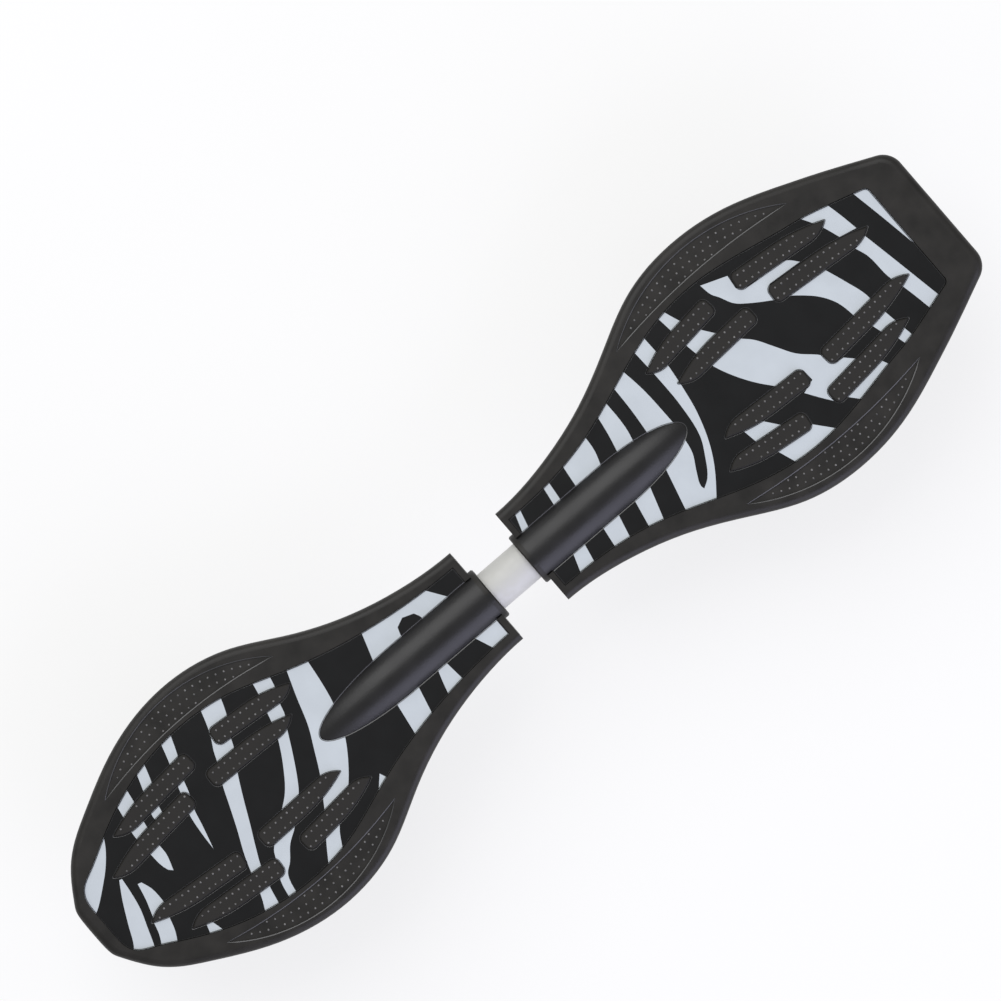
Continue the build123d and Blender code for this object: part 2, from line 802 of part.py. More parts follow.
def make_fork(caster):
    """Chrome fork: a cup round the king nut that runs out into two windowed legs."""
    reach = caster_trail + leg_end_radius
    with BuildPart() as fork:
        with BuildSketch(caster.level(crown_top)):
            Circle(fork_outer)
            with Locations((reach / 2, 0)):
                Rectangle(reach, 2 * fork_outer)
            Circle(fork_inner, mode=Mode.SUBTRACT)
            with Locations((reach / 2, 0)):
                Rectangle(reach, 2 * fork_inner, mode=Mode.SUBTRACT)
        extrude(amount=face_to_axle + leg_end_radius)
        with BuildSketch(caster.side()):
            with Locations(((cup_rear - fork_outer) / 2, crown_top + cup_front_height / 2)):
                Rectangle(cup_rear + fork_outer, cup_front_height)
            with Locations((caster_trail, face_to_axle)):
                Circle(leg_end_radius)
            make_hull()
        extrude(amount=2 * fork_outer, both=True, mode=Mode.INTERSECT)
        with BuildSketch(caster.level(crown_top)):
            Circle(fork_outer)
        extrude(amount=crown_thickness)
        with BuildSketch(caster.level(hub_top)):
            Circle(king_bearing_radius + hub_wall)
        extrude(amount=crown_top - hub_top)
        with BuildSketch(caster.level(hub_top)):
            Circle(king_bearing_radius)
        extrude(amount=bearing_stop - hub_top, mode=Mode.SUBTRACT)
        with BuildSketch(caster.level(bearing_stop)):
            Circle(king_bearing_radius - bearing_lip_width)
        extrude(amount=bearing_lip, mode=Mode.SUBTRACT)
        with BuildSketch(caster.side()):
            with Locations((caster_trail, face_to_axle)):
                Circle(axle_radius + running_fit)
            with Locations(Location((caster_trail / 2, cup_floor + axle_drop / 2, 0), (0, 0, 1), leg_angle)):
                SlotOverall(window_length, window_width)
        extrude(amount=2 * fork_outer, both=True, mode=Mode.SUBTRACT)
    write(fork, f"{caster.name}_fork")


def make_fork_bearings(caster):
    """Two ball bearings, one on the other, pressed into the fork's hub."""
    with BuildPart() as bearings:
        for start in (hub_top, hub_top + king_bearing_width):
            with BuildPart(mode=Mode.PRIVATE) as one:
                with BuildSketch(caster.level(start)):
                    Circle(king_bearing_radius - running_fit)
                    Circle(king_radius + running_fit, mode=Mode.SUBTRACT)
                extrude(amount=king_bearing_width - running_fit)
            add(one.part)
    write(bearings, f"{caster.name}_fork_bearings")


def make_axle_set(caster):
    """Axle bolt through both legs, its nut, and a washer each side of the wheel."""
    with BuildPart() as bolt:
        with BuildSketch(caster.beside(-fork_outer - axle_head_height)):
            Circle(axle_head_radius)
        extrude(amount=-axle_head_height)
        chamfer(bolt.faces().sort_by(Axis.Y)[0].edges(), pad_edge_round)
        with BuildSketch(caster.beside(-fork_outer - axle_head_height)):
            RegularPolygon(axle_head_radius * socket_share, 6, major_radius=False)
        extrude(amount=-axle_head_height * socket_share, mode=Mode.SUBTRACT)
        with BuildSketch(caster.beside(-fork_outer)):
            Circle(axle_radius)
        extrude(amount=-2 * fork_outer - axle_nut_height)
    write(bolt, f"{caster.name}_axle_bolt")

    with BuildPart() as nut:
        with BuildSketch(caster.beside(fork_outer)):
            RegularPolygon(axle_nut_width / 2, 6, major_radius=False)
            Circle(axle_radius + running_fit, mode=Mode.SUBTRACT)
        extrude(amount=-axle_nut_height)
    write(nut, f"{caster.name}_axle_nut")

    width = wheel_side_gap - play
    with BuildPart() as washers:
        for start in (-fork_inner, fork_inner - width):
            with BuildSketch(caster.beside(start)):
                Circle(axle_washer_radius)
                Circle(axle_radius + running_fit, mode=Mode.SUBTRACT)
            extrude(amount=-width)
    write(washers, f"{caster.name}_axle_washers")


def make_wheel(caster):
    """Bull-nosed tyre on its core, with two bearings and the spacer between them."""
    axle_line = Axis(caster.axle, (0, 1, 0))
    half = wheel_width / 2
    side = half - tyre_side_inset
    with BuildPart() as tyre:
        with BuildSketch(caster.turning()):
            with BuildLine():
                Line((core_radius, side), (tyre_shoulder, half))
                ThreePointArc((tyre_shoulder, half), (wheel_radius, 0), (tyre_shoulder, -half))
                Line((tyre_shoulder, -half), (core_radius, -side))
                Line((core_radius, -side), (core_radius, side))
            make_face()
        revolve(axis=axle_line)
    write(tyre, f"{caster.name}_tyre")

    seat = half - wheel_bearing_width
    with BuildPart() as core:
        with BuildSketch(caster.turning()):
            with BuildLine():
                ring = wheel_bearing_radius + hub_ring
                outside = core_radius - running_fit
                Polyline(
                    (wheel_bearing_radius - bearing_shoulder, 0),
                    (wheel_bearing_radius - bearing_shoulder, seat), (wheel_bearing_radius, seat),
                    (wheel_bearing_radius, half), (ring, half), (ring + hub_slope, side - core_inset),
                    (outside, side - core_inset), (outside, 0),
                    close=True,
                )
            make_face()
            mirror(about=Plane.XZ)
        revolve(axis=axle_line)
    write(core, f"{caster.name}_wheel_core")

    with BuildPart() as bearings:
        for middle in (seat + wheel_bearing_width / 2, -seat - wheel_bearing_width / 2):
            with BuildSketch(caster.turning()):
                with Locations(((wheel_bearing_radius + axle_radius) / 2, middle)):
                    width = wheel_bearing_radius - axle_radius - 2 * running_fit
                    Rectangle(width, wheel_bearing_width)
            revolve(axis=axle_line)
    write(bearings, f"{caster.name}_wheel_bearings")

    with BuildPart() as spacer:
        with BuildSketch(caster.turning()):
            with Locations((axle_radius + running_fit + spacer_wall / 2, 0)):
                Rectangle(spacer_wall, 2 * seat)
        revolve(axis=axle_line)
    write(spacer, f"{caster.name}_bearing_spacer")


for deck, caster in ((nose, nose_caster), (tail, tail_caster)):
    make_platform(deck)
    make_foot_panel(deck)
    make_grip_pads(deck)
    make_fairing(deck)
    make_cover(deck, caster)
    make_skid_pads(deck)
    make_screws(
        deck, screw_points(deck), screw_seat, cover_screw_head, cover_screw_head_height,
        cover_screw_radius, cover_screw_grip + rim_bottom - screw_seat, "cover_screws",
    )
    make_screws(
        deck, skid_screw_points(deck), cover_bottom - skid_pad_thickness + skid_screw_sink,
        skid_screw_head, skid_screw_head_height, skid_screw_radius,
        cover_thickness + skid_pad_thickness - skid_screw_sink, "skid_screws",
    )
    make_screws(
        deck, [(spine_bolt_station, 0)], tube_height - spine_radius + spine_bolt_recess,
        spine_bolt_head, spine_bolt_head_height, spine_bolt_radius,
        spine_radius - spine_bolt_recess - rod_width / 2 - play, "spine_bolt",
    )
    make_collar(deck)
    make_inner_bush(deck)
    make_king_set(caster)
    make_fork(caster)
    make_fork_bearings(caster)
    make_axle_set(caster)
    make_wheel(caster)

make_anchor(nose, anchor_radius)
make_anchor(tail, tube_radius - tube_wall - running_fit)
make_torsion_tube()
make_torsion_rod()
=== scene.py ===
"""Caster board seen from straight above: printed stripes, grip dots, finishes, lights and camera.

Lengths are metres in the board's own frame: X runs from the tail to the nose and Z is up.
The printed outlines are written in millimetres from the nose's tip and from the centre line.
"""

from math import cos, hypot, pi, radians, sin

import bmesh
import bpy
from mathutils import Matrix, Vector
from mathutils.bvhtree import BVHTree


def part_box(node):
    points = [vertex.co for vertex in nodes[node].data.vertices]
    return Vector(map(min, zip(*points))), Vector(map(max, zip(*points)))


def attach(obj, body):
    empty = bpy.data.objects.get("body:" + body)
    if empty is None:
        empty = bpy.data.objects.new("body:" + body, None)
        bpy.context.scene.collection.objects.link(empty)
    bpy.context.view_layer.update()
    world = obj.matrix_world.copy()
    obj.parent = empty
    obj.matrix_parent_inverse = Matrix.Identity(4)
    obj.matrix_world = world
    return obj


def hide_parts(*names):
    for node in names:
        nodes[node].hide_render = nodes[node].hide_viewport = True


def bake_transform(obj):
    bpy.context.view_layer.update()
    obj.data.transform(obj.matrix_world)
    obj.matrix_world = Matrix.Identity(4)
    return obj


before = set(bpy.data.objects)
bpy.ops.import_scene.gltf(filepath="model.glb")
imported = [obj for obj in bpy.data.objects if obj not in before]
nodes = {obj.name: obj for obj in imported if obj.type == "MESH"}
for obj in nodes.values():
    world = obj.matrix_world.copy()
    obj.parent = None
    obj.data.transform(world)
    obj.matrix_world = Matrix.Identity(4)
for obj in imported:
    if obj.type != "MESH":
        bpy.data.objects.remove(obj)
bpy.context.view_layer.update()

# Colours, in linear light
BLACK_MOULDING = (0.0145, 0.0133, 0.0115)
BLACK_PANEL = (0.0065, 0.0068, 0.0072)
BLACK_PAD = (0.0175, 0.0162, 0.0142)
BLACK_SATIN = (0.0085, 0.0083, 0.0086)
# Darker than the moulding: the painted shade of the slot in each collar
NOTCH_SHADE_BLACK = (0.0040, 0.0040, 0.0045)
# Edge bands lighter grey than the plates they edge: a painted highlight
EDGE_HIGHLIGHT_GREY = (0.040, 0.040, 0.041)
# Light grey of the grip dots, varied at random from dot to dot: a painted highlight on each dot
DOT_HIGHLIGHT_GREY = (0.135, 0.132, 0.128)
PRINT_GREY = (0.565, 0.612, 0.645)
IVORY = (0.83, 0.76, 0.64)
STEEL = (0.62, 0.62, 0.61)
ALUMINIUM = (0.72, 0.72, 0.70)
CHROME = (0.76, 0.76, 0.77)
SHIELD_RED = (0.36, 0.02, 0.015)
HUB_GREY = (0.5, 0.5, 0.49)
FLOOR = (0.93, 0.93, 0.93)
WHITE = (1.0, 1.0, 1.0)

# Finishes: the change in gloss, the pebbles round each wedge, and the wheels' glow
GLOSS_SPREAD = 0.1
PEBBLE_SIZE = 0.0016
PEBBLE_DEPTH = 0.0004
PEBBLE_REACH = 0.055
PEBBLE_FADE = 0.8
WHEEL_GLOW = 0.35
WHEEL_GLOW_REACH = (0.008, 0.006, 0.004)

# The red shield of a bearing lies between two radii, with an edge this wide
SHIELD_INNER = 0.0058
SHIELD_OUTER = 0.0094
SHIELD_EDGE = 0.0002

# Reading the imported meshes
MERGE = 0.000001
SAME_HEIGHT = 0.00001
FACING_UP = 0.999
FACING_SIDE = 0.99
FLAT_WITHIN = 0.0002
ABOVE_BOARD = 1.0

# Printed stripes: how far the ink stands up, and how deep its cutter reaches
PRINT_RISE = 0.00006
PRINT_DEPTH = 0.0006

# Grip dots, in staggered rows
DOT_RADIUS = 0.0009
DOT_HEIGHT = 0.0007
DOT_SEGMENTS = 8
DOT_RINGS = 6
DOT_ROOM = 1.4 * DOT_RADIUS
PAD_DOT_PITCH = 0.0058
PAD_ROW_OFFSET = 0.0039
TIP_DOT_PITCH = 0.0085
ZONE_ROWS = 3
ZONE_FIRST_ROW = 0.0045
ZONE_ROW_GAP = 0.0064
ZONE_DOT_PITCH = 0.0067
ZONE_DOTS_EACH_WAY = 40

# Rows of a pad: its side of the middle, its pitch, and the first dot's place in pitches
PAD_ROWS = ((-1, PAD_DOT_PITCH, 0.5), (1, PAD_DOT_PITCH, 1.0), (0, TIP_DOT_PITCH, 0.8))

# Painted-highlight edges round the panels and the side zones, which lie this far out or more
ZONE_LEAST = 0.06
EDGE_WIDTH = 0.0007
EDGE_RISE = 0.00025
EDGE_SINK = 0.0001
EDGE_MITRE = 0.5

# Forks, nuts, collars and rod
EDGE_ROUND = 0.0005
EDGE_ANGLE = radians(40)
FLANK_DEPTH = 0.0001
NOTCH_LENGTH = 0.0085
NOTCH_WIDTH = 0.0034
NOTCH_OFFSET = 0.0036
NOTCH_RISE = 0.00015
NOTCH_STEPS = 8
ROD_CUTS = 24

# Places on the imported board, whose rim stands above its panels and whose side zones are sunk in it
RIM_LIP = 0.0015
ZONE_SINK = 0.0008
nose_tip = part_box("nose_deck")[1][0]
panel_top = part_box("nose_foot_panel")[1][2]
pad_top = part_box("nose_grip_pads")[1][2]
rim_top = panel_top + RIM_LIP
zone_floor = rim_top - ZONE_SINK

# The camera looks straight down, turned so that the nose points to the lower left
CAMERA_TURN = radians(40.70)
CAMERA_CENTRE = (-0.0266, -0.049)
CAMERA_HEIGHT = 3.2
FRAME_WIDTH = 0.776
SENSOR = 36.0
CLIP_END = 50.0

# Stage and light
FLOOR_SIZE = 90.0
FLOOR_WHITENESS = 0.72
WORLD_LEVEL = 0.5
KEY_PLACE = (-1.1, 1.5, 2.4)
KEY_SIZE = 2.6
KEY_POWER = 50.0
SIDE_PLACE = (1.7, -1.7, 1.3)
SIDE_SIZE = 2.4
SIDE_POWER = 46.0
SIDE_COLOUR = (0.76, 0.76, 1.0)


def add_object(name, data):
    """A new object in the scene."""
    item = bpy.data.objects.new(name, data)
    bpy.context.scene.collection.objects.link(item)
    return item


def node_tree(name):
    """A new material with its tree, its shader and its object coordinates."""
    material = bpy.data.materials.new(name)
    material.use_nodes = True
    tree = material.node_tree
    shader = tree.nodes["Principled BSDF"]
    place = tree.nodes.new("ShaderNodeTexCoord").outputs["Object"]
    return material, tree, shader, place


def noise(tree, place, size, detail=4.0):
    """Noise whose features are about one size, in metres."""
    texture = tree.nodes.new("ShaderNodeTexNoise")
    texture.inputs["Scale"].default_value = 1 / size
    texture.inputs["Detail"].default_value = detail
    tree.links.new(place, texture.inputs["Vector"])
    return texture.outputs["Fac"]


def remap(tree, value, low, high, low_in=0.3, high_in=0.7):
    """A value taken from one range to another. Unless it is told, the first is where noise lies."""
    node = tree.nodes.new("ShaderNodeMapRange")
    node.inputs["From Min"].default_value = low_in
    node.inputs["From Max"].default_value = high_in
    node.inputs["To Min"].default_value = low
    node.inputs["To Max"].default_value = high
    tree.links.new(value, node.inputs["Value"])
    return node.outputs["Result"]


def mix(tree, factor, first, second):
    """A colour between two, each a colour or a socket, by a socket from 0 to 1."""
    node = tree.nodes.new("ShaderNodeMix")
    node.data_type = "RGBA"
    tree.links.new(factor, node.inputs["Factor"])
    for label, colour in (("A", first), ("B", second)):
        socket = next(s for s in node.inputs if s.name == label and s.type == "RGBA")
        if isinstance(colour, tuple):
            socket.default_value = (*colour, 1)
        else:
            tree.links.new(colour, socket)
    return next(s for s in node.outputs if s.type == "RGBA")


def bump(tree, shader, height, depth):
    """Surface relief of a real depth, in metres."""
    node = tree.nodes.new("ShaderNodeBump")
    node.inputs["Distance"].default_value = depth
    tree.links.new(height, node.inputs["Height"])
    tree.links.new(node.outputs["Normal"], shader.inputs["Normal"])


def shade(colour, factor):
    """A colour made darker or lighter."""
    return tuple(min(1.0, channel * factor) for channel in colour)


def plain(name, colour, roughness, metal=0.0, spread=0.12, cloud=0.02, grain=0.0006,
          depth=0.00002, specular=0.5):
    """Moulded, rolled or painted surface: cloudy colour and gloss, and a fine grain."""
    material, tree, shader, place = node_tree(name)
    clouds = noise(tree, place, cloud)
    factor = remap(tree, clouds, 0, 1)
    base = mix(tree, factor, shade(colour, 1 - spread), shade(colour, 1 + spread))
    tree.links.new(base, shader.inputs["Base Color"])
    glossier = roughness * (1 - GLOSS_SPREAD)
    rougher = min(1.0, roughness * (1 + GLOSS_SPREAD))
    gloss = remap(tree, clouds, glossier, rougher)
    tree.links.new(gloss, shader.inputs["Roughness"])
    shader.inputs["Metallic"].default_value = metal
    shader.inputs["Specular IOR Level"].default_value = specular
    bump(tree, shader, noise(tree, place, grain, detail=2.0), depth)
    return material


def pebbled(name, colour, centre, reach):
    """Moulded plastic that turns coarse and pebbled round one place."""
    material = plain(name, colour, roughness=0.5, spread=0.2, grain=0.0007, depth=0.00003)
    tree = material.node_tree
    shader = tree.nodes["Principled BSDF"]
    place = tree.nodes.new("ShaderNodeTexCoord").outputs["Object"]
    away = tree.nodes.new("ShaderNodeVectorMath")
    away.operation = "DISTANCE"
    away.inputs[1].default_value = centre
    tree.links.new(place, away.inputs[0])
    near = remap(tree, away.outputs["Value"], 1, 0, reach * PEBBLE_FADE, reach)
    pebbles = tree.nodes.new("ShaderNodeTexVoronoi")
    pebbles.inputs["Scale"].default_value = 1 / PEBBLE_SIZE
    tree.links.new(place, pebbles.inputs["Vector"])
    relief = tree.nodes.new("ShaderNodeMath")
    relief.operation = "MULTIPLY"
    tree.links.new(near, relief.inputs[0])
    tree.links.new(pebbles.outputs["Distance"], relief.inputs[1])
    coarse = tree.nodes.new("ShaderNodeBump")
    coarse.invert = True
    coarse.inputs["Distance"].default_value = PEBBLE_DEPTH
    fine = shader.inputs["Normal"].links[0].from_node
    tree.links.new(relief.outputs["Value"], coarse.inputs["Height"])
    tree.links.new(fine.outputs["Normal"], coarse.inputs["Normal"])
    tree.links.new(coarse.outputs["Normal"], shader.inputs["Normal"])
    return material


def bearing(name, axle):
    """Steel rings with a red shield between them, told apart by their distance from the axle."""
    material = plain(name, STEEL, roughness=0.3, metal=1.0, spread=0.08)
    tree = material.node_tree
    shader = tree.nodes["Principled BSDF"]
    place = tree.nodes.new("ShaderNodeTexCoord").outputs["Object"]
    flat = tree.nodes.new("ShaderNodeVectorMath")
    flat.operation = "MULTIPLY"
    flat.inputs[1].default_value = (1, 0, 1)
    tree.links.new(place, flat.inputs[0])
    away = tree.nodes.new("ShaderNodeVectorMath")
    away.operation = "DISTANCE"
    away.inputs[1].default_value = (axle.x, 0, axle.z)
    tree.links.new(flat.outputs["Vector"], away.inputs[0])
    inner = remap(tree, away.outputs["Value"], 0, 1, SHIELD_INNER, SHIELD_INNER + SHIELD_EDGE)
    outer = remap(tree, away.outputs["Value"], 1, 0, SHIELD_OUTER, SHIELD_OUTER + SHIELD_EDGE)
    shield = tree.nodes.new("ShaderNodeMath")
    shield.operation = "MULTIPLY"
    tree.links.new(inner, shield.inputs[0])
    tree.links.new(outer, shield.inputs[1])
    steel = shader.inputs["Base Color"].links[0].from_socket
    tree.links.new(mix(tree, shield.outputs["Value"], steel, SHIELD_RED), shader.inputs["Base Color"])
    metal = remap(tree, shield.outputs["Value"], 1, 0, 0, 1)
    tree.links.new(metal, shader.inputs["Metallic"])
    return material


def urethane(name):
    """Ivory wheel rubber that lets a little light through."""
    material = plain(name, IVORY, roughness=0.32, spread=0.03, cloud=0.012, grain=0.0008,
                     depth=0.00001)
    shader = material.node_tree.nodes["Principled BSDF"]
    shader.inputs["Subsurface Weight"].default_value = WHEEL_GLOW
    shader.inputs["Subsurface Radius"].default_value = WHEEL_GLOW_REACH
    shader.inputs["Subsurface Scale"].default_value = 1.0
    return material


def paint(name, material):
    """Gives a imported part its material."""
    mesh = nodes[name].data
    mesh.materials.clear()
    mesh.materials.append(material)


def smooth_closed(points, steps=5, corner=radians(38)):
    """A closed outline through the points: curved, but sharp where it turns hard."""
    count = len(points)
    vectors = [Vector(point) for point in points]
    leave, arrive = [], []
    for i, here in enumerate(vectors):
        back = here - vectors[i - 1]
        ahead = vectors[(i + 1) % count] - here
        along = (back.normalized() + ahead.normalized()).normalized()
        sharp = back.angle(ahead) > corner
        arrive.append(back if sharp else along * back.length)
        leave.append(ahead if sharp else along * ahead.length)
    outline = []
    for i, here in enumerate(vectors):
        there = vectors[(i + 1) % count]
        for step in range(steps):
            t = step / steps
            outline.append(
                here * (2 * t**3 - 3 * t**2 + 1) + leave[i] * (t**3 - 2 * t**2 + t)
                + there * (3 * t**2 - 2 * t**3) + arrive[(i + 1) % count] * (t**3 - t**2)
            )
    return outline


def place_on_board(point):
    """A printed point, in millimetres from the nose's tip and the centre line, in metres."""
    return (nose_tip - point[0] / 1000, point[1] / 1000)


def stripe_cutter(outlines):
    """Upright prisms over the outlines, through the top of the panel."""
    shape = bmesh.new()
    for outline in outlines:
        ring = [place_on_board(point) for point in smooth_closed(outline)]
        face = shape.faces.new([shape.verts.new((x, y, panel_top - PRINT_DEPTH)) for x, y in ring])
        lifted = bmesh.ops.extrude_face_region(shape, geom=[face])["geom"]
        moved = [item for item in lifted if isinstance(item, bmesh.types.BMVert)]
        bmesh.ops.translate(shape, verts=moved, vec=Vector((0, 0, 3 * PRINT_DEPTH)))
    bmesh.ops.triangulate(shape, faces=shape.faces)
    bmesh.ops.recalc_face_normals(shape, faces=shape.faces)
    mesh = bpy.data.meshes.new("stripe_cutter")
    shape.to_mesh(mesh)
    shape.free()
    return add_object("stripe_cutter", mesh)


def print_stripes(side, outlines, material):
    """The pale stripes: the panel's own top, cut to the outlines and raised by the ink."""
    cutter = stripe_cutter(outlines)
    panel = bmesh.new()
    panel.from_mesh(nodes[f"{side}_foot_panel"].data)
    bmesh.ops.remove_doubles(panel, verts=panel.verts, dist=MERGE)
    mesh = bpy.data.meshes.new(f"{side}_stripes")
    panel.to_mesh(mesh)
    panel.free()
    stripes = add_object(f"{side}_stripes", mesh)
    trim = stripes.modifiers.new("trim", "BOOLEAN")
    trim.operation = "INTERSECT"
    trim.solver = "EXACT"
    trim.object = cutter
    shown = stripes.evaluated_get(bpy.context.evaluated_depsgraph_get())
    cut = bpy.data.meshes.new_from_object(shown)
    stripes.modifiers.clear()
    stripes.data = cut
    cut.transform(Matrix.Translation((0, 0, PRINT_RISE)))
    cut.materials.clear()
    cut.materials.append(material)
    bpy.data.objects.remove(cutter)
    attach(stripes, f"{side}_deck_body")


def islands(mesh):
    """The vertex places of each separate solid in a mesh."""
    shape = bmesh.new()
    shape.from_mesh(mesh)
    bmesh.ops.remove_doubles(shape, verts=shape.verts, dist=MERGE)
    shape.verts.index_update()
    seen = set()
    for first in shape.verts:
        if first in seen:
            continue
        group, edge = set(), {first}
        while edge:
            group |= edge
            edge = {e.other_vert(v) for v in edge for e in v.link_edges} - group
        seen |= group
        yield [v.co.copy() for v in sorted(group, key=lambda v: v.index)]
    shape.free()


def dotted(name, spots, side, material):
    """Small round-topped dots on the given spots, as one piece."""
    template = bmesh.new()
    bmesh.ops.create_uvsphere(template, u_segments=DOT_SEGMENTS, v_segments=DOT_RINGS, radius=1)
    bmesh.ops.scale(template, verts=template.verts, vec=(DOT_RADIUS, DOT_RADIUS, DOT_HEIGHT))
    corners = [v.co.copy() for v in template.verts]
    sides = [[v.index for v in face.verts] for face in template.faces]
    template.free()
    places, faces = [], []
    for spot in spots:
        start = len(places)
        places += [corner + Vector(spot) for corner in corners]
        faces += [[start + index for index in face] for face in sides]
    mesh = bpy.data.meshes.new(name)
    mesh.from_pydata(places, [], faces)
    mesh.materials.append(material)
    mesh.shade_smooth()
    piece = add_object(name, mesh)
    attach(piece, f"{side}_deck_body")


def clear_spot(tree, x, y, height, margin):
    """True where the surface is flat at that height, all round the spot."""
    for dx, dy in ((0, 0), (margin, 0), (-margin, 0), (0, margin), (0, -margin)):
        hit = tree.ray_cast(Vector((x + dx, y + dy, ABOVE_BOARD)), Vector((0, 0, -1)))[0]
        if hit is None or abs(hit.z - height) > FLAT_WITHIN:
            return False
    return True


def pad_spots(node):
    """Dots in two staggered rows along each grip pad, and in one row out to its tip."""
    tree = BVHTree.FromObject(node, bpy.context.evaluated_depsgraph_get())
    for places in islands(node.data):
        middle = sum(places, Vector()).xy / len(places)
        along = (max(places, key=lambda p: (p.xy - middle).length).xy - middle).normalized()
        across = Vector((-along.y, along.x))
        runs = [(p.xy - middle).dot(along) for p in places]
        offsets = [(p.xy - middle).dot(across) for p in places]
        spine = (max(offsets) + min(offsets)) / 2
        reached = min(runs)
        for row, pitch, shift in PAD_ROWS:
            first = min(runs) if row else reached
            for count in range(int((max(runs) - first) / pitch) + 1):
                run = first + pitch * (count + shift)
                spot = middle + along * run + across * (spine + row * PAD_ROW_OFFSET)
                if clear_spot(tree, spot.x, spot.y, pad_top, DOT_ROOM):
                    yield (spot.x, spot.y, pad_top)
                    reached = max(reached, run)


def arc_through(first, middle, last):
    """Centre and radius of the circle through three flat points."""
    a, b, c = (Vector(point) for point in (first, middle, last))
    bx, by = b - a
    cx, cy = c - a
    scale = 2 * (bx * cy - by * cx)
    x = (cy * (bx * bx + by * by) - by * (cx * cx + cy * cy)) / scale
    y = (bx * (cx * cx + cy * cy) - cx * (bx * bx + by * by)) / scale
    return a + Vector((x, y)), hypot(x, y)


def zone_spots(node, zone):
    """Dots in rows that follow the outer arc of a side zone, on both sides of the deck."""
    tree = BVHTree.FromObject(node, bpy.context.evaluated_depsgraph_get())
    centre, radius = arc_through(*(place_on_board(point) for point in zone))
    for row in range(1, ZONE_ROWS + 1):
        reach = radius - ZONE_FIRST_ROW - (row - 1) * ZONE_ROW_GAP
        step = ZONE_DOT_PITCH / reach
        for count in range(-ZONE_DOTS_EACH_WAY, ZONE_DOTS_EACH_WAY + 1):
            angle = pi / 2 + (count + (row % 2) / 2) * step
            x = centre.x + reach * cos(angle)
            y = centre.y + reach * sin(angle)
            if clear_spot(tree, x, y, zone_floor, DOT_ROOM):
                yield (x, y, zone_floor)
                yield (x, -y, zone_floor)


def top_loops(mesh, height):
    """Closed edges of the flat faces at one height, each run with those faces on its left."""
    shape = bmesh.new()
    shape.from_mesh(mesh)
    bmesh.ops.remove_doubles(shape, verts=shape.verts, dist=MERGE)
    level = {f for f in shape.faces if abs(f.calc_center_median().z - height) < SAME_HEIGHT}
    flat = {f for f in level if f.normal.z > FACING_UP}
    ahead = {}
    for face in shape.faces:
        if face not in flat:
            continue
        for corner in face.loops:
            if sum(other in flat for other in corner.edge.link_faces) == 1:
                ahead[corner.vert] = corner.link_loop_next.vert
    while ahead:
        start, here = ahead.popitem()
        ring = [start.co.copy()]
        while here is not start and here in ahead:
            ring.append(here.co.copy())
            here = ahead.pop(here)
        yield ring
    shape.free()


def edge_band(name, rings, side, material):
    """A narrow bevel laid along edges: low at the edge itself, and higher on its inner side."""
    places, faces = [], []
    for ring in rings:
        start = len(places)
        for i, here in enumerate(ring):
            back = (here - ring[i - 1]).xy.normalized()
            away = (ring[(i + 1) % len(ring)] - here).xy.normalized()
            along = (back + away).normalized()
            inward = Vector((-along.y, along.x, 0)) * EDGE_WIDTH / max(EDGE_MITRE, along.dot(away))
            up = Vector((0, 0, 1))
            places += [here, here + inward + up * EDGE_RISE, here + inward - up * EDGE_SINK,
                       here - up * EDGE_SINK]
        for i in range(len(ring)):
            near, far = start + 4 * i, start + 4 * ((i + 1) % len(ring))
            faces += [(near + k, far + k, far + (k + 1) % 4, near + (k + 1) % 4) for k in range(4)]
    mesh = bpy.data.meshes.new(name)
    mesh.from_pydata(places, [], faces)
    shape = bmesh.new()
    shape.from_mesh(mesh)
    bmesh.ops.recalc_face_normals(shape, faces=shape.faces)
    shape.to_mesh(mesh)
    shape.free()
    mesh.materials.append(material)
    piece = add_object(name, mesh)
    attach(piece, f"{side}_deck_body")


